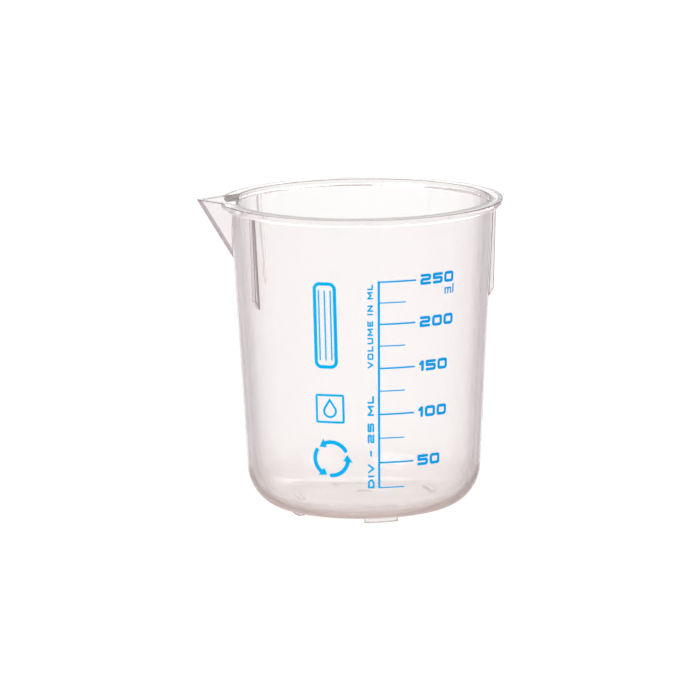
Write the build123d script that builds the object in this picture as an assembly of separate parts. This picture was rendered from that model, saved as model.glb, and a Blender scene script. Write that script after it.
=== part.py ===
"""A 250 ml moulded plastic laboratory beaker with its printed marks.

Frame: millimetres, +Z up. The origin is on the beaker's axis, on the plane that the feet
stand on. The pouring spout points to -X and the printed scale faces -Y. An azimuth is an
angle about +Z in degrees, 0 at -Y and 90 at +X, so the spout is at -90.
"""

import os
from math import atan2, cos, degrees, hypot, pi, radians, sin, sqrt, tan

from build123d import *

# ---- Vessel -------------------------------------------------------------------------
overall_height = 91.9        # resting plane to the top of the rim
base_radius = 33.3           # outside of the wall, carried down to the underside
wall_draft = 3.235           # degrees that the wall leans outwards
wall_at_base = 1.4
wall_at_rim = 1.15
floor_thickness = 2.3
base_corner_radius = 12.5    # outside rounding between the wall and the underside
foot_height = 1.45

# ---- Rim bead: flat on top and below, with a rounded outer edge -----------------------------
bead_overhang = 2.62         # how far it stands out from the wall
bead_depth = 2.25
bead_round = 1.5             # lower outer edge
rim_edge_radius = 0.12       # upper outer edge

# ---- Pouring spout: two flat wings meeting in a straight keel -----------------------------
spout_projection = 9.4       # wall to the tip, at the rim
spout_half_angle = 45.8      # each wing from the spout's centre line, in plan
spout_depth = 17.2           # rim top down to where the keel meets the wall
spout_wall = 1.1

# ---- Stacking ribs under the bead -------------------------------------------------------
rib_azimuths = (-127.0, -54.0, 90.0)
rib_width = 1.6
rib_stand_at_top = 0.75
rib_stand_at_foot = 1.3
rib_length = 26.5            # rim top down to where the rib's outer edge ends
rib_runout = 2.4             # slanted end below that, back to the wall
rib_root = 0.4               # how far the rib is sunk into the wall

# ---- Feet and moulding gate on the underside ----------------------------------------------
foot_count = 4
foot_azimuth = 14.3          # middle of the first foot
foot_arc = 27.0              # degrees covered by one foot
foot_width = 1.8
foot_inset = 0.15            # from the start of the base rounding
foot_root = 0.4
gate_recess_radius = 2.0
gate_recess_depth = 0.4
gate_stub_radius = 0.7
gate_stub_height = 0.25

# ---- Scale --------------------------------------------------------------------------------
scale_capacity = 250         # ml at the top line
scale_step = 25              # ml between lines
numbered_step = 50           # ml between the long, numbered lines
ink = 0.06                   # thickness of every print
scale_azimuth = 8.2          # the upright line
scale_line_width = 0.68
long_line_end = 25.3         # azimuth where the numbered lines end
short_line_end = 20.5        # azimuth where the lines between them end
long_line_width = 0.5
short_line_width = 0.36

# ---- Numerals ------------------------------------------------------------------------------
numeral_azimuth = 27.5       # left side of every numeral
numeral_height = 3.2
numeral_width = 3.5
numeral_gap = 0.6
numeral_stroke = 0.85
unit_azimuth = 40.4          # left side of the unit, under the end of the top numeral
unit_drop = 3.6              # middle of the unit below the top line
unit_height = 2.9
unit_width = 2.6             # width of its first letter
unit_stroke = 0.45

# ---- Captions, read from the bottom up, left of the upright line ------------------------------
caption_azimuth = 4.3        # middle of both captions
caption_gap = 8.4            # between the two
step_caption = "DIV - 25 ML"
step_caption_length = 27.0
step_caption_height = 1.95
step_caption_stroke = 0.56
volume_caption = "VOLUME IN ML"
volume_caption_length = 24.4
volume_caption_height = 1.75
volume_caption_stroke = 0.48

# ---- Symbols, stacked left of the captions -------------------------------------------------
symbol_azimuth = -15.0       # middle of the arrows and the droplet
arrows_lift = 3.0            # arrows above the lowest line
arrows_size = 11.0           # outside of the ring that they lie on
arrows_stroke = 1.15
arrow_head_width = 2.9
arrow_head_length = 2.1
arrow_gap_angle = 15.0       # open angle between an arrow's tip and the next one's tail
droplet_gap = 5.0            # arrows to the droplet's frame
droplet_frame = 8.6
droplet_frame_stroke = 0.65
droplet_radius = 1.75
droplet_point = 3.3          # middle of the droplet's round up to its point
droplet_drop = 0.7           # round's middle below the frame's middle
droplet_stroke = 0.65
panel_gap = 7.5              # droplet's frame to the marking panel
panel_azimuth = -16.2
panel_width = 7.0
panel_height = 25.4
panel_corner = 1.6
panel_stroke = 1.0
panel_rules = 3
rule_inset = 2.6             # each end of a ruled line from the panel's end
rule_stroke = 0.45

# ---- Heights and radii that follow ------------------------------------------------------------
underside = foot_height
floor_height = underside + floor_thickness
body_height = overall_height - underside
wall_slope = tan(radians(wall_draft))
inner_slope = wall_slope + (wall_at_base - wall_at_rim) / body_height
inner_corner_radius = base_corner_radius - wall_at_base


def outer_radius(height):
    """Outside of the wall at a height, without the rounding at the base."""
    return base_radius + wall_slope * (height - underside)


def inner_wall_radius(height):
    """Inside of the wall at a height, without the rounding at the floor."""
    return base_radius - wall_at_base + inner_slope * (height - underside)


# The rounding inside touches the floor and the sloping wall.
inner_tilt = atan2(inner_slope, 1)
inner_corner_height = floor_height + inner_corner_radius
inner_corner_centre = inner_wall_radius(inner_corner_height) - inner_corner_radius / cos(inner_tilt)
inner_tangent_height = inner_corner_height - inner_corner_radius * sin(inner_tilt)

# The flat of the underside ends where the outside rounding starts.
outer_turn = radians(90 - wall_draft)
underside_flat_radius = base_radius - base_corner_radius * tan(outer_turn / 2)
outer_corner_height = underside + base_corner_radius

# The keel of the spout runs from its tip, at the rim, down to the wall.
spout_reach = outer_radius(overall_height) + spout_projection
keel_run = (spout_reach - outer_radius(overall_height - spout_depth)) / spout_depth


def inside_radius(height):
    """Inside of the vessel at a height, with the rounding at the floor."""
    if height >= inner_tangent_height:
        return inner_wall_radius(height)
    fall = inner_corner_height - height
    return inner_corner_centre + sqrt(max(0.0, inner_corner_radius**2 - fall**2))


def contents(height, slices=200):
    """Liquid held up to a height, in cubic millimetres, by Simpson's rule."""
    step = (height - floor_height) / slices
    total = 0.0
    for index in range(slices + 1):
        weight = 1 if index in (0, slices) else 4 if index % 2 else 2
        total += weight * inside_radius(floor_height + index * step) ** 2
    return pi * total * step / 3


def level(millilitres):
    """Height of the surface of so much liquid."""
    low = floor_height
    high = overall_height
    while high - low > 1e-4:
        middle = (low + high) / 2
        if contents(middle) < millilitres * 1000:
            low = middle
        else:
            high = middle
    return (low + high) / 2


def around(azimuth, radius=0.0, height=0.0):
    """The point at an azimuth, radius and height."""
    angle = radians(azimuth)
    return Vector(radius * sin(angle), -radius * cos(angle), height)


def turned(shape, azimuth):
    """A shape made at +X, turned to an azimuth."""
    return shape.rotate(Axis.Z, azimuth - 90)


def section(*points):
    """A closed outline of radius and height points, as a face in the XZ plane."""
    return Plane.XZ * make_face(Polyline(*points, close=True))


# ---- Body -----------------------------------------------------------------------------------
def rounded_cup(radius_low, radius_high, low, high, corner):
    """A tapered round block with its bottom edge rounded."""
    outline = Polyline((0, low), (radius_low, low), (radius_high, high), (0, high), close=True)
    face = make_face(outline)
    bottom_corner = face.vertices().sort_by_distance((radius_low, low))[0]
    face = fillet(bottom_corner, corner)
    return revolve(Plane.XZ * face, Axis.Z)


def bead():
    """The ring around the top of the wall."""
    outside = outer_radius(overall_height) + bead_overhang
    bottom = overall_height - bead_depth
    root = inner_wall_radius(bottom) + wall_at_rim / 2
    box = make_face(
        Polyline(
            (root, bottom), (outside, bottom), (outside, overall_height), (root, overall_height),
            close=True,
        )
    )
    lower_edge = box.vertices().sort_by_distance((outside, bottom))[0]
    box = fillet(lower_edge, bead_round)
    upper_edge = box.vertices().sort_by_distance((outside, overall_height))[0]
    box = fillet(upper_edge, rim_edge_radius)
    return revolve(Plane.XZ * box, Axis.Z)


def spout_wedge(reach, rise=0.0):
    """The space inside a V whose keel runs from the tip down to the wall.

    rise is how far the V starts above the rim.
    """
    tip = reach + rise * keel_run
    back = base_radius * 0.9
    half_width = (tip - back) * tan(radians(spout_half_angle))
    top = overall_height + rise
    face = make_face(Polyline((-tip, 0), (-back, half_width), (-back, -half_width), close=True))
    keel = Vector(keel_run, 0, -1)
    drop = spout_depth + rise
    return extrude(Pos(0, 0, top) * face, amount=drop * keel.length, dir=keel)


def spout_setback():
    """How far the inner V's tip lies behind the outer one's for the wings' wall."""
    angle = radians(spout_half_angle)
    return spout_wall * hypot(1, sin(angle) * keel_run) / sin(angle)


def stacking_rib():
    """One upright rib at +X, from inside the bead down to its slanted end."""
    top = overall_height - bead_depth / 2
    foot = overall_height - rib_length
    end = foot - rib_runout
    outline = section(
        (outer_radius(top) - rib_root, top),
        (outer_radius(top) + rib_stand_at_top, top),
        (outer_radius(foot) + rib_stand_at_foot, foot),
        (outer_radius(end), end),
        (outer_radius(end) - rib_root, end),
    )
    return extrude(outline, amount=rib_width / 2, both=True)


def foot():
    """One low arc at +X under the flat of the base."""
    outside = underside_flat_radius - foot_inset
    inside = outside - foot_width
    top = underside + foot_root
    outline = section((inside, 0), (outside, 0), (outside, top), (inside, top))
    return revolve(outline, Axis.Z, foot_arc).rotate(Axis.Z, -foot_arc / 2)


def beaker_body():
    """The whole moulding: wall, base, bead, spout, ribs and feet in one piece."""
    body = rounded_cup(
        base_radius, outer_radius(overall_height), underside, overall_height, base_corner_radius
    )
    body += bead()
    body += spout_wedge(spout_reach)
    for azimuth in rib_azimuths:
        body += turned(stacking_rib(), azimuth)
    for index in range(foot_count):
        body += turned(foot(), foot_azimuth + index * 360 / foot_count)
    above = overall_height + 5
    body -= rounded_cup(
        inner_wall_radius(floor_height), inner_wall_radius(above), floor_height, above,
        inner_corner_radius,
    )
    body -= spout_wedge(spout_reach - spout_setback(), rise=2)
    recess = Pos(0, 0, underside) * Cylinder(gate_recess_radius, 2 * gate_recess_depth)
    body -= recess
    stub_top = underside + gate_recess_depth
    sunk = gate_stub_height + foot_root
    body += Pos(0, 0, stub_top - gate_stub_height + sunk / 2) * Cylinder(gate_stub_radius, sunk)
    return body


# ---- Printing ink on the wall ------------------------------------------------------------------
def skin(height, stand):
    """The radius and height of a point so far out from the outside of the body."""
    radius = base_corner_radius + stand
    fall = outer_corner_height - height
    if fall <= radius * sin(radians(wall_draft)):
        return outer_radius(height) + stand / cos(radians(wall_draft)), height
    centre = outer_radius(outer_corner_height) - base_corner_radius / cos(radians(wall_draft))
    return centre + sqrt(radius**2 - fall**2), height


def skin_edges(low, high, stand):
    """The outline between two heights: an arc on the base rounding, then a straight line."""
    turn = outer_corner_height - (base_corner_radius + stand) * sin(radians(wall_draft))
    edges = []
    if low < turn:
        top = min(high, turn)
        edges.append(ThreePointArc(skin(low, stand), skin((low + top) / 2, stand), skin(top, stand)))
    if high > turn:
        edges.append(Line(skin(max(low, turn), stand), skin(high, stand)))
    return edges


def ink_band(low, high, start, end):
    """Ink covering the wall between two heights and two azimuths."""
    edges = skin_edges(low, high, 0) + skin_edges(low, high, ink)
    edges += [Line(skin(low, 0), skin(low, ink)), Line(skin(high, 0), skin(high, ink))]
    outline = Plane.XZ * make_face(edges)
    return turned(revolve(outline, Axis.Z, end - start), start)


def printed(artwork, azimuth, height):
    """A flat drawing, with its middle at the origin, printed on the wall."""
    size = artwork.bounding_box().size
    reach = degrees(size.X / 2 / base_radius) * 1.2
    low = height - size.Y / 2 - ink
    high = height + size.Y / 2 + ink
    band = ink_band(low, high, azimuth - reach, azimuth + reach)
    wall = Plane(around(azimuth, height=height), around(azimuth + 90, 1), around(azimuth, 1))
    stamp = extrude(wall * artwork, amount=2 * outer_radius(overall_height))
    return band & stamp


def stroke(points, width, corner=0.0, close=False):
    """A pen line through points, with round ends.

    corner is one radius for every corner or, for an open line, a list with one for each.
    """
    if close:
        outside = Polyline(*points, close=True)
        face = make_face(outside)
        if corner:
            face = fillet(face.vertices(), corner)
        return offset(face, width / 2) - offset(face, -width / 2)
    if corner and len(points) > 2:
        path = FilletPolyline(*points, radius=corner)
    else:
        path = Polyline(*points)
    outline = path.wire().offset_2d(width / 2)
    return Sketch() + Face(outline)


def box_outline(width, height, line_width, corner):
    """A rounded rectangle drawn with a pen, its middle at the origin."""
    half_x = (width - line_width) / 2
    half_y = (height - line_width) / 2
    corners = [(-half_x, -half_y), (half_x, -half_y), (half_x, half_y), (-half_x, half_y)]
    return stroke(corners, line_width, corner, close=True)


# Each character is drawn in a cell 1 wide and 1 high: its width as a share of a full cell, and
# its pen strokes as lists of points. A third value rounds a corner, as a share of the pen.
BEND = 0.55
CHARACTERS = {
    "0": (1.0, [[(0, 0, BEND), (1, 0), (1, 1), (0, 1), (0, 0, BEND)]]),
    "1": (0.45, [[(0, 0.75), (0.75, 1), (1, 1), (1, 0)]]),
    "2": (1.0, [[(0, 1), (1, 1, BEND), (1, 0.5, BEND), (0, 0.5, BEND), (0, 0), (1, 0)]]),
    "5": (1.0, [[(1, 1), (0, 1), (0, 0.55), (1, 0.55, BEND), (1, 0, BEND), (0, 0)]]),
    "m": (1.0, [[(0, 0), (0, 0.62), (1, 0.62, BEND), (1, 0)], [(0.5, 0), (0.5, 0.62)]]),
    "l": (0.1, [[(0, 0), (0, 1)]]),
    "D": (1.0, [[(0, 0), (0.65, 0), (1, 0.3), (1, 0.7), (0.65, 1), (0, 1), (0, 0)]]),
    "E": (0.85, [[(1, 0), (0, 0), (0, 1), (1, 1)], [(0, 0.5), (0.85, 0.5)]]),
    "I": (0.1, [[(0, 0), (0, 1)]]),
    "L": (0.85, [[(0, 1), (0, 0), (1, 0)]]),
    "M": (1.15, [[(0, 0), (0, 1), (0.5, 0.3), (1, 1), (1, 0)]]),
    "N": (1.0, [[(0, 0), (0, 1), (1, 0), (1, 1)]]),
    "O": (1.0, [[(0, 0, BEND), (1, 0), (1, 1), (0, 1), (0, 0, BEND)]]),
    "U": (1.0, [[(0, 1), (0, 0, BEND), (1, 0, BEND), (1, 1)]]),
    "V": (1.05, [[(0, 1), (0.5, 0), (1, 1)]]),
    "-": (0.7, [[(0, 0.5), (1, 0.5)]]),
    " ": (0.35, []),
}


def character(symbol, cell_width, height, pen):
    """One character, from the origin up and to the right, and its drawn width."""
    share, strokes = CHARACTERS[symbol]
    width = max(pen, share * cell_width)
    drawing = Sketch()
    for points in strokes:
        placed = [
            (pen / 2 + x * (width - pen), pen / 2 + y * (height - pen)) for x, y, *_ in points
        ]
        bends = [pen * sum(bend) for _, _, *bend in points]
        if points[0] == points[-1]:
            drawing += stroke(placed[:-1], pen, bends[0], close=True)
        else:
            drawing += stroke(placed, pen, bends[1:-1])
    return drawing, width


def lettering(text, cell_width, height, pen, gap):
    """Characters side by side, starting at x = 0 and centred on y = 0."""
    drawing = Sketch()
    position = 0.0
    for symbol in text:
        shape, width = character(symbol, cell_width, height, pen)
        if shape.faces():
            drawing += Pos(position, -height / 2) * shape
        position += width + gap
    return drawing


def centred(drawing):
    """A drawing moved so that its middle is at the origin."""
    middle = drawing.bounding_box().center()
    return Pos(-middle.X, -middle.Y) * drawing


def numeral(text, cell_width, height, pen, gap, start_azimuth, print_height):
    """Lettering that starts at an azimuth, printed on the wall."""
    drawing = centred(lettering(text, cell_width, height, pen, gap))
    half_width = drawing.bounding_box().size.X / 2
    middle = start_azimuth + degrees(half_width / outer_radius(print_height))
    return printed(drawing, middle, print_height)


def upright_caption(text, length, height, pen, bottom):
    """A line of lettering read from the bottom up, fitted to a length."""
    gap = 1.1 * pen
    shares = sum(CHARACTERS[symbol][0] for symbol in text)
    cell_width = (length - gap * (len(text) - 1)) / shares
    drawing = centred(lettering(text, cell_width, height, pen, gap)).rotate(Axis.Z, 90)
    return printed(drawing, caption_azimuth, bottom + length / 2)


def three_arrows():
    """Three arrows that chase each other around a ring."""
    ring = (arrows_size - arrows_stroke) / 2
    head_angle = degrees(arrow_head_length / ring)
    shaft_angle = 120 - arrow_gap_angle - head_angle
    arrow = Sketch() + SlotArc(CenterArc((0, 0), ring, 0, shaft_angle), arrows_stroke)
    neck = radians(shaft_angle)
    tip = radians(shaft_angle + head_angle)
    inside = ring - arrow_head_width / 2
    outside = ring + arrow_head_width / 2
    arrow += make_face(
        Polyline(
            (inside * cos(neck), inside * sin(neck)),
            (outside * cos(neck), outside * sin(neck)),
            (ring * cos(tip), ring * sin(tip)),
            close=True,
        )
    )
    drawing = Sketch()
    for index in range(3):
        drawing += arrow.rotate(Axis.Z, 30 + 120 * index)
    return drawing


def droplet():
    """A droplet in a square frame."""
    drawing = box_outline(droplet_frame, droplet_frame, droplet_frame_stroke, droplet_frame_stroke / 2)
    side = sqrt(droplet_point**2 - droplet_radius**2)
    touch_x = droplet_radius * side / droplet_point
    touch_y = droplet_radius**2 / droplet_point
    lines = [
        Line((0, droplet_point), (touch_x, touch_y)),
        ThreePointArc((touch_x, touch_y), (0, -droplet_radius), (-touch_x, touch_y)),
        Line((-touch_x, touch_y), (0, droplet_point)),
    ]
    face = make_face(lines)
    outline = offset(face, droplet_stroke / 2) - offset(face, -droplet_stroke / 2)
    return drawing + Pos(0, -droplet_drop) * outline


def marking_panel():
    """An empty panel to write on, with ruled lines along its length."""
    drawing = box_outline(panel_width, panel_height, panel_stroke, panel_corner)
    half_rule = panel_height / 2 - rule_inset
    for index in range(panel_rules):
        x = panel_width * ((index + 1) / (panel_rules + 1) - 0.5)
        drawing += stroke([(x, -half_rule), (x, half_rule)], rule_stroke)
    return drawing


volumes = range(scale_step, scale_capacity + 1, scale_step)
numbered = [volume for volume in volumes if volume % numbered_step == 0]
between = [volume for volume in volumes if volume % numbered_step]
lowest_line = level(scale_step)
top_line = level(scale_capacity)

step_caption_bottom = lowest_line
volume_caption_bottom = step_caption_bottom + step_caption_length + caption_gap
arrows_height = lowest_line + arrows_lift + arrows_size / 2
droplet_height = arrows_height + arrows_size / 2 + droplet_gap + droplet_frame / 2
panel_middle = droplet_height + droplet_frame / 2 + panel_gap + panel_height / 2


# The upright line covers the same angle all the way up, and the graduations start at its side.
scale_line_half = degrees(scale_line_width / 2 / outer_radius((lowest_line + top_line) / 2))


def scale_line():
    """The upright line that the graduations start from."""
    low = lowest_line - short_line_width / 2
    high = top_line + long_line_width / 2
    return ink_band(low, high, scale_azimuth - scale_line_half, scale_azimuth + scale_line_half)


def graduation(millilitres, width, end):
    """A line from the upright line's side to an azimuth."""
    height = level(millilitres)
    start = scale_azimuth + scale_line_half
    return ink_band(height - width / 2, height + width / 2, start, end)


def all_nodes():
    """Every named piece of the beaker."""
    nodes = {"beaker_body": beaker_body()}
    nodes["scale_line"] = scale_line()
    nodes["numbered_graduations"] = Compound(
        children=[graduation(volume, long_line_width, long_line_end) for volume in numbered]
    )
    nodes["plain_graduations"] = Compound(
        children=[graduation(volume, short_line_width, short_line_end) for volume in between]
    )
    for volume in numbered:
        nodes[f"numeral_{volume}"] = numeral(
            str(volume), numeral_width, numeral_height, numeral_stroke, numeral_gap,
            numeral_azimuth, level(volume),
        )
    nodes["unit_ml"] = numeral(
        "ml", unit_width, unit_height, unit_stroke, unit_stroke, unit_azimuth, top_line - unit_drop
    )
    nodes["caption_step"] = upright_caption(
        step_caption, step_caption_length, step_caption_height, step_caption_stroke,
        step_caption_bottom,
    )
    nodes["caption_volume"] = upright_caption(
        volume_caption, volume_caption_length, volume_caption_height, volume_caption_stroke,
        volume_caption_bottom,
    )
    nodes["arrows_symbol"] = printed(three_arrows(), symbol_azimuth, arrows_height)
    nodes["droplet_symbol"] = printed(droplet(), symbol_azimuth, droplet_height)
    nodes["marking_panel"] = printed(marking_panel(), panel_azimuth, panel_middle)
    return nodes


os.makedirs("parts", exist_ok=True)
for name, shape in all_nodes().items():
    shape.label = name
    export_step(shape, f"parts/{name}.step")
    print(name, len(shape.solids()), round(shape.volume, 3))
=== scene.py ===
"""The looks of the moulded plastic beaker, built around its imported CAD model.

Blender units are metres, in the CAD's frame: the beaker stands on z = 0, its spout points
to -X and its printed scale faces -Y.
"""

from math import cos, radians, sin

import bpy
from mathutils import Matrix, Vector


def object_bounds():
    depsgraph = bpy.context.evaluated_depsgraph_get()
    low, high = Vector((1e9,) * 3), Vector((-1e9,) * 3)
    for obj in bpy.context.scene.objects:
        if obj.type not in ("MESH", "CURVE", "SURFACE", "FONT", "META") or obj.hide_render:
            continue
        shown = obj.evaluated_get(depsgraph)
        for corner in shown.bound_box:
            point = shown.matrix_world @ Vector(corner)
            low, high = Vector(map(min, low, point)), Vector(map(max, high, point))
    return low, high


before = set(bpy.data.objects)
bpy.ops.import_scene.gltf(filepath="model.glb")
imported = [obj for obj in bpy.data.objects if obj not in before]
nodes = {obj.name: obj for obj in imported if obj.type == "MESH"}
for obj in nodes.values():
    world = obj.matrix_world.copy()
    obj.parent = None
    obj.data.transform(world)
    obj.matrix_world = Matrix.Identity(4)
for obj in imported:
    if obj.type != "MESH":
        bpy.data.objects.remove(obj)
cad_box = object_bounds()
INKS = sorted(name for name in nodes if name != "beaker_body")

# ---- Places on the beaker that its looks follow -------------------------------------------
RIM_TOP = cad_box[1][2]
BEAD_DEPTH = 0.0027       # from the rim's top down to where the ribs come clear of the bead
UNDERSIDE = 0.00145       # height of the base's underside over the feet's plane
WALL_RADIUS = 0.0333      # outside of the wall, carried down to the underside
WALL_LEAN = 0.0565        # how much wider it is for each unit of height
SPOUT_ROOT = -0.0335      # the spout lies beyond this x, and the ribs don't
KEEL_HALF_WIDTH = 0.0015  # of the strip along the spout's keel that is solid plastic
KEEL_BLUR = 0.0002        # its painted shade fades from this far inside the strip to this far outside
STANDS_OUT = (0.0001, 0.0004)   # off the wall: starts to count as a rib or the spout, and does

# ---- Clear plastic ------------------------------------------------------------------------
PLASTIC_COLOUR = (0.985, 0.98, 0.978, 1)
PLASTIC_IOR = 1.463
ROUGHNESS = (0.0, 0.04)
EDGE_ROUNDING = 0.00045   # radius that moulding leaves on every sharp edge
EDGE_SAMPLES = 6
# What the light loses on its way through the plastic.
DEPTH_COLOUR = (0.50, 0.41, 0.40, 1)
DEPTH_DENSITY = 26.0
SHADOW_COLOUR = (0.97, 0.965, 0.96, 1)

# Milkiness is the share of the surface that scatters light instead of letting it through: a
# little real haze, and painted shade on the wall's sides, the base, ribs, keel and edges. The
# wall's goes by
# the angle it is seen at: 0 is straight on, 1 is edge on.
WALL_HAZE_AND_SIDE_SHADE = [
    (0.0, 0.045), (0.3, 0.08), (0.5, 0.23), (0.63, 0.46),
    (0.71, 0.58), (0.8, 0.69), (0.86, 0.24), (0.94, 0.0),
]
BASE_SHADE_TOP = 0.02      # height that the base's painted shade reaches
BASE_SHADE = [(0.0, 0.15), (0.5, 0.15), (0.75, 0.04), (1.0, 0.0)]
CORNER_SHADE = 0.63        # painted shade, added on the outside of the base's rounding, which faces down
# painted shade on the ribs below the bead
RIB_SHADE = 0.3
# painted shade on the outside of the spout's keel, which faces down
KEEL_SHADE = 0.93
EDGE_SHADE_LINE = 0.9           # share of the surface that the painted brown lines of shade cover, on the edge itself
INNER_GLOW = 0.10         # painted light: share of pale scattering, for light that is already inside the plastic

# The upright part of a surface's direction: 1 faces straight up, 0 sideways, -1 straight down.
WALL_TO_LEVEL = (0.45, 0.95)
CORNER_TO_LEVEL = (-0.45, -0.75)
KEEL_FACING = -0.1
# The cosine between a surface's true and its rounded direction, off an edge and on one.
OFF_TO_ON_EDGE = (1.0, 0.96)

# warm tone of the painted shade in the base
BASE_SHADE_TONE = (0.43, 0.34, 0.31, 1)
# tone of the walls' slight real haze and of the painted shade on the sides, ribs and keel
WALL_HAZE_AND_SHADE_TONE = (0.42, 0.368, 0.392, 1)
# brown of the painted shade along sharp edges
EDGE_SHADE_TONE = (0.24, 0.15, 0.14, 1)
# pale tone of the painted light inside the plastic
INNER_GLOW_TONE = (0.66, 0.62, 0.59, 1)

# ---- Blue ink -----------------------------------------------------------------------------
INK_LEFT, INK_RIGHT = -0.014, 0.026     # painted shade: the blue deepens from one x to the other
INK_SHADE_ACROSS = (-0.15, 0.75)
INK_CLOUDS = 0.4
PALE_INK = (0.0, 0.37, 0.68, 1)
DEEP_INK = (0.0, 0.24, 0.62, 1)
INK_ROUGHNESS = (0.38, 0.6)
INK_IOR = 1.5
INK_SHINE = 0.03

# ---- Floor and light ----------------------------------------------------------------------
FLOOR_REACH = 12.0
FLOOR_COLOUR = (0.06, 0.06, 0.06, 1)
FLOOR_GLOW = 0.95
STUDIO = [(0.3, (1.0, 1.0, 1.0, 1)), (0.7, (0.85, 0.79, 0.78, 1))]
LIGHT_AIM = (0, 0, 0.05)
LIGHTS = {                # where each softbox stands, its width and its watts
    "key": ((-1.2, -1.4, 1.9), 1.6, 34),
    "fill": ((1.6, -1.0, 1.6), 1.6, 20),
    "back": ((0.3, 2.0, 1.8), 1.8, 32),
}
LIGHT_BOUNCES = 24

# ---- Camera -------------------------------------------------------------------------------
CAMERA_AZIMUTH = radians(1.0)
CAMERA_ELEVATION = radians(9.86)
CAMERA_ROLL = radians(-0.596)
CAMERA_DISTANCE = 2.621
CAMERA_LENS = 462.9
CAMERA_CLIP = (0.1, 50)
SENSOR = 36.0
AIM_HEIGHT = 0.0512
AIM_LEFT = 0.00377        # the beaker stands this far right of the view's middle
AIM_DOWN = 0.00394        # and this far above it


# ---- Node helpers -------------------------------------------------------------------------
class Nodes:
    """The nodes of a material or a world, built from nothing.

    Whatever feeds a node is either a value or another node's output.
    """

    def __init__(self, owner, output_kind="ShaderNodeOutputMaterial"):
        owner.use_nodes = True
        self.owner = owner
        self.tree = owner.node_tree
        self.tree.nodes.clear()
        self.output = self.add(output_kind)

    def feed(self, socket, source):
        """Links a socket to an output, or sets it to a value."""
        if isinstance(source, bpy.types.NodeSocket):
            self.tree.links.new(source, socket)
        else:
            socket.default_value = source

    def add(self, kind, inputs=None, **settings):
        """A new node, with its settings and what feeds each of its inputs."""
        node = self.tree.nodes.new(kind)
        for key, value in settings.items():
            setattr(node, key, value)
        for key, source in (inputs or {}).items():
            self.feed(node.inputs[key], source)
        return node

    def place(self, kind="Object"):
        """The coordinates of the spot."""
        return self.add("ShaderNodeTexCoord").outputs[kind]

    def math(self, operation, *sources, use_clamp=False):
        """The result of one sum."""
        inputs = dict(enumerate(sources))
        node = self.add("ShaderNodeMath", inputs, operation=operation, use_clamp=use_clamp)
        return node.outputs["Value"]

    def vector_math(self, operation, *sources, result="Vector"):
        """The result of one sum on vectors."""
        inputs = dict(enumerate(sources))
        return self.add("ShaderNodeVectorMath", inputs, operation=operation).outputs[result]

    def spread(self, source, limits, results, interpolation_type="LINEAR"):
        """A number that goes from one result to the other between the source's limits."""
        inputs = dict(zip(("From Min", "From Max", "To Min", "To Max"), (*limits, *results)))
        inputs["Value"] = source
        node = self.add("ShaderNodeMapRange", inputs, interpolation_type=interpolation_type)
        return node.outputs["Result"]

    def noise(self, place, scale, detail, roughness=0.5):
        """Fine random detail, from 0 to 1."""
        inputs = {"Vector": place, "Scale": scale, "Detail": detail, "Roughness": roughness}
        return self.add("ShaderNodeTexNoise", inputs).outputs["Fac"]

    def ramp(self, source, stops):
        """A blend between stops, each of them a position and a grey or a colour."""
        node = self.add("ShaderNodeValToRGB", {"Fac": source})
        elements = node.color_ramp.elements
        while len(elements) < len(stops):
            elements.new(0.5)
        for element, (position, tone) in zip(elements, stops):
            element.position = position
            element.color = tone if isinstance(tone, tuple) else (tone, tone, tone, 1)
        return node.outputs["Color"]

    def mix(self, data_type, factor, first, second):
        """Two numbers or two colours, mixed."""
        inputs = {"Factor": factor, "A": first, "B": second}
        return self.add("ShaderNodeMix", inputs, data_type=data_type).outputs["Result"]

    def mix_shaders(self, factor, first, second):
        """Two surfaces, mixed."""
        node = self.add("ShaderNodeMixShader", {"Fac": factor, 1: first, 2: second})
        return node.outputs["Shader"]


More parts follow.
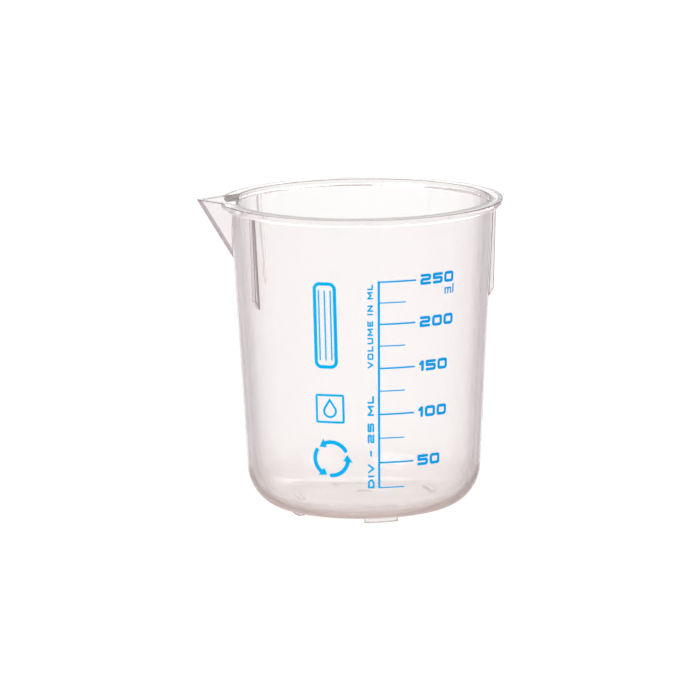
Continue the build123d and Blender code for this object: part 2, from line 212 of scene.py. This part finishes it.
# ---- Clear plastic ------------------------------------------------------------------------
class ClearPlastic(Nodes):
    """Clear, slightly milky polymethylpentene, polished by its mould, with painted shade and
    light.
    """

    def __init__(self):
        super().__init__(bpy.data.materials.new("clear_plastic"))
        self.spot = self.place()
        self.x, self.y, self.z = self.add("ShaderNodeSeparateXYZ", {"Vector": self.spot}).outputs
        shape = self.add("ShaderNodeNewGeometry").outputs
        self.normal = shape["Normal"]
        self.from_inside = shape["Backfacing"]
        self.faces_up = self.add("ShaderNodeSeparateXYZ", {"Vector": self.normal}).outputs["Z"]
        rounded = self.add("ShaderNodeBevel", {"Radius": EDGE_ROUNDING}, samples=EDGE_SAMPLES)
        self.rounded_normal = rounded.outputs["Normal"]
        self.base_to_wall = self.spread(self.z, (0.0, BASE_SHADE_TOP), (0.0, 1.0))

    def polished(self):
        """The clear part, with its slight waves and its fine grain."""
        waves = self.noise(self.spot, scale=55.0, detail=2.0, roughness=0.45)
        bump = self.add("ShaderNodeBump", {
            "Strength": 0.02, "Distance": 0.0004, "Height": waves, "Normal": self.rounded_normal,
        })
        grain = self.noise(self.spot, scale=900.0, detail=3.0, roughness=0.6)
        return self.add("ShaderNodeBsdfPrincipled", {
            "Base Color": PLASTIC_COLOUR,
            "IOR": PLASTIC_IOR,
            "Transmission Weight": 1.0,
            "Roughness": self.spread(grain, (0.0, 1.0), ROUGHNESS),
            "Normal": bump.outputs["Normal"],
        }).outputs["BSDF"]

    def wall_haze_and_side_shade(self):
        """Real haze straight on that deepens into painted shade towards the sides, where the wall
        is seen at a low angle, and fades out again at the very edge. The level surfaces of the
        rim and the floor have none."""
        grazing = self.add("ShaderNodeLayerWeight", {"Blend": 0.5}).outputs["Facing"]
        levelness = self.math("ABSOLUTE", self.faces_up)
        on_wall = self.spread(levelness, WALL_TO_LEVEL, (1.0, 0.0), "SMOOTHSTEP")
        return self.math("MULTIPLY", self.ramp(grazing, WALL_HAZE_AND_SIDE_SHADE), on_wall)

    def base_shade(self):
        """Painted shade in the thick base, and most of it on the outside of its rounding, which
        faces down.
        """
        faces_down = self.spread(self.faces_up, CORNER_TO_LEVEL, (0.0, CORNER_SHADE))
        low_down = self.math("SUBTRACT", 1.0, self.base_to_wall)
        all_round = self.ramp(self.base_to_wall, BASE_SHADE)
        return self.math("MULTIPLY_ADD", faces_down, low_down, all_round)

    def stands_out(self):
        """1 on whatever stands out from the wall, and 0 on the wall itself."""
        off_axis = self.vector_math("MULTIPLY", self.spot, (1, 1, 0))
        radius = self.vector_math("LENGTH", off_axis, result="Value")
        without_lean = self.math("MULTIPLY_ADD", self.z, -WALL_LEAN, radius)
        wall = WALL_RADIUS - WALL_LEAN * UNDERSIDE
        return self.spread(without_lean, [wall + step for step in STANDS_OUT], (0.0, 1.0))

    def rib_shade(self):
        """Painted shade, for the part of the ribs that is below the bead."""
        not_spout = self.math("GREATER_THAN", self.x, SPOUT_ROOT)
        under_bead = self.math("LESS_THAN", self.z, RIM_TOP - BEAD_DEPTH)
        on_rib = self.math("MULTIPLY", not_spout, under_bead)
        return self.math("MULTIPLY", on_rib, RIB_SHADE)

    def keel_shade(self):
        """Painted shade, for the outside of the spout along its keel, which faces down."""
        limits = (KEEL_HALF_WIDTH - KEEL_BLUR, KEEL_HALF_WIDTH + KEEL_BLUR)
        near_keel = self.spread(self.math("ABSOLUTE", self.y), limits, (KEEL_SHADE, 0.0))
        on_spout = self.math("LESS_THAN", self.x, SPOUT_ROOT)
        faces_down = self.math("LESS_THAN", self.faces_up, KEEL_FACING)
        return self.math("MULTIPLY", near_keel, self.math("MULTIPLY", on_spout, faces_down))

    def outside_haze_and_shade(self):
        """All of the milkiness of the outside, real haze and painted shade, apart from the
        painted lines of shade along its edges.
        """
        rib_and_keel_shade = self.math("ADD", self.rib_shade(), self.keel_shade())
        wall_and_base = self.math("ADD", self.base_shade(), self.wall_haze_and_side_shade())
        return self.math("MULTIPLY_ADD", self.stands_out(), rib_and_keel_shade, wall_and_base)

    def painted_edge_shade(self):
        """Painted shade: sharp edges show as thin brown lines."""
        alike = self.vector_math(
            "DOT_PRODUCT", self.normal, self.rounded_normal, result="Value",
        )
        return self.spread(alike, OFF_TO_ON_EDGE, (0.0, EDGE_SHADE_LINE))

    def haze_and_painted_tones(self, on_edge):
        """The scattering part: real haze, painted shade that is warmer in the base and brown on
        edges, and painted light that is pale from inside.
        """
        tone = self.mix("RGBA", self.base_to_wall, BASE_SHADE_TONE, WALL_HAZE_AND_SHADE_TONE)
        tone = self.mix("RGBA", on_edge, tone, EDGE_SHADE_TONE)
        tone = self.mix("RGBA", self.from_inside, tone, INNER_GLOW_TONE)
        return self.add("ShaderNodeBsdfTranslucent", {"Color": tone}).outputs["BSDF"]

    def build(self):
        """Mixes the clear and the scattering parts, lets some light into the shadow, and tints
        the depth of the plastic."""
        on_edge = self.painted_edge_shade()
        outside = self.math("ADD", self.outside_haze_and_shade(), on_edge, use_clamp=True)
        share = self.mix("FLOAT", self.from_inside, outside, INNER_GLOW)
        seen = self.mix_shaders(share, self.polished(), self.haze_and_painted_tones(on_edge))
        in_shadow = self.add("ShaderNodeLightPath").outputs["Is Shadow Ray"]
        pale = self.add("ShaderNodeBsdfTransparent", {"Color": SHADOW_COLOUR}).outputs["BSDF"]
        self.feed(self.output.inputs["Surface"], self.mix_shaders(in_shadow, seen, pale))
        depth = {"Color": DEPTH_COLOUR, "Density": DEPTH_DENSITY}
        tint = self.add("ShaderNodeVolumeAbsorption", depth)
        self.feed(self.output.inputs["Volume"], tint.outputs["Volume"])
        return self.owner


# ---- Blue ink -----------------------------------------------------------------------------
def blue_ink():
    """Screen-printed ink: slightly uneven, with fine grain from the mesh."""
    ink = Nodes(bpy.data.materials.new("blue_ink"))
    place = ink.place()

    # Painted shade: the blue is lighter on the left of the print and deeper on the right; the
    # clouds on top are real unevenness.
    x = ink.add("ShaderNodeSeparateXYZ", {"Vector": place}).outputs["X"]
    shade_across = ink.spread(x, (INK_LEFT, INK_RIGHT), INK_SHADE_ACROSS)
    cloud = ink.noise(place, scale=420.0, detail=3.0, roughness=0.6)
    depth = ink.math("MULTIPLY_ADD", cloud, INK_CLOUDS, shade_across)

    weave = ink.noise(place, scale=3500.0, detail=2.0)
    bump = ink.add("ShaderNodeBump", {"Strength": 0.25, "Distance": 0.00004, "Height": weave})
    film = ink.add("ShaderNodeBsdfPrincipled", {
        "Base Color": ink.ramp(depth, [(0.0, PALE_INK), (1.0, DEEP_INK)]),
        "IOR": INK_IOR,
        "Specular IOR Level": INK_SHINE,
        "Roughness": ink.spread(weave, (0.0, 1.0), INK_ROUGHNESS),
        "Normal": bump.outputs["Normal"],
    })
    ink.feed(ink.output.inputs["Surface"], film.outputs["BSDF"])
    return ink.owner


def finish_with(name, material):
    """Gives a CAD node a material in place of its plain one."""
    mesh = nodes[name].data
    mesh.materials.clear()
    mesh.materials.append(material)


# ---- Floor and light ----------------------------------------------------------------------
def floor():
    """A plain pale floor, lit from below like a light table, wide enough to fill every view."""
    mesh = bpy.data.meshes.new("floor")
    around = [(-1, -1), (1, -1), (1, 1), (-1, 1)]
    corners = [(x * FLOOR_REACH, y * FLOOR_REACH, 0) for x, y in around]
    mesh.from_pydata(corners, [], [(0, 1, 2, 3)])
    board = bpy.data.objects.new("floor", mesh)
    bpy.context.scene.collection.objects.link(board)

    look = Nodes(bpy.data.materials.new("floor"))
    matt = look.add("ShaderNodeBsdfDiffuse", {"Color": FLOOR_COLOUR}).outputs["BSDF"]
    glow = look.add("ShaderNodeEmission", {"Strength": FLOOR_GLOW}).outputs["Emission"]
    both = look.add("ShaderNodeAddShader", {0: matt, 1: glow})
    look.feed(look.output.inputs["Surface"], both.outputs["Shader"])
    mesh.materials.append(look.owner)


def soft_light(name, place, size, watts):
    """A square softbox that faces the beaker."""
    light = bpy.data.lights.new(name, "AREA")
    light.shape = "SQUARE"
    light.size = size
    light.energy = watts
    holder = bpy.data.objects.new(name, light)
    holder.location = place
    holder.rotation_mode = "QUATERNION"
    holder.rotation_quaternion = (Vector(LIGHT_AIM) - Vector(place)).to_track_quat("-Z", "Y")
    bpy.context.scene.collection.objects.link(holder)


def studio_world():
    """A bright, even studio: white all round at eye level and a little darker above."""
    world = bpy.data.worlds.new("studio")
    bpy.context.scene.world = world
    sky = Nodes(world, "ShaderNodeOutputWorld")
    height = sky.add("ShaderNodeSeparateXYZ", {"Vector": sky.place("Generated")}).outputs["Z"]
    shine = sky.add("ShaderNodeBackground", {"Color": sky.ramp(height, STUDIO), "Strength": 1.0})
    sky.feed(sky.output.inputs["Surface"], shine.outputs["Background"])


# ---- Camera -------------------------------------------------------------------------------
def camera():
    """Far off and almost level, looking down by about ten degrees."""
    data = bpy.data.cameras.new("camera")
    data.lens = CAMERA_LENS
    data.sensor_width = SENSOR
    data.clip_start, data.clip_end = CAMERA_CLIP
    holder = bpy.data.objects.new("camera", data)
    bpy.context.scene.collection.objects.link(holder)
    back = Vector((
        sin(CAMERA_AZIMUTH) * cos(CAMERA_ELEVATION),
        -cos(CAMERA_AZIMUTH) * cos(CAMERA_ELEVATION),
        sin(CAMERA_ELEVATION),
    ))
    turn = (-back).to_track_quat("-Z", "Y")
    right = turn @ Vector((1, 0, 0))
    up = turn @ Vector((0, 1, 0))
    middle = Vector((0, 0, AIM_HEIGHT)) - right * AIM_LEFT - up * AIM_DOWN
    holder.rotation_mode = "QUATERNION"
    holder.location = middle + back * CAMERA_DISTANCE
    roll = Matrix.Rotation(CAMERA_ROLL, 3, "Z").to_quaternion()
    holder.rotation_quaternion = turn @ roll
    bpy.context.scene.camera = holder


finish_with("beaker_body", ClearPlastic().build())
printed = blue_ink()
for name in INKS:
    finish_with(name, printed)

floor()
studio_world()
for name, (place, size, watts) in LIGHTS.items():
    soft_light(name, place, size, watts)
camera()
bpy.context.scene.view_settings.view_transform = "Standard"
bpy.context.scene.cycles.max_bounces = LIGHT_BOUNCES
bpy.context.scene.cycles.transmission_bounces = LIGHT_BOUNCES
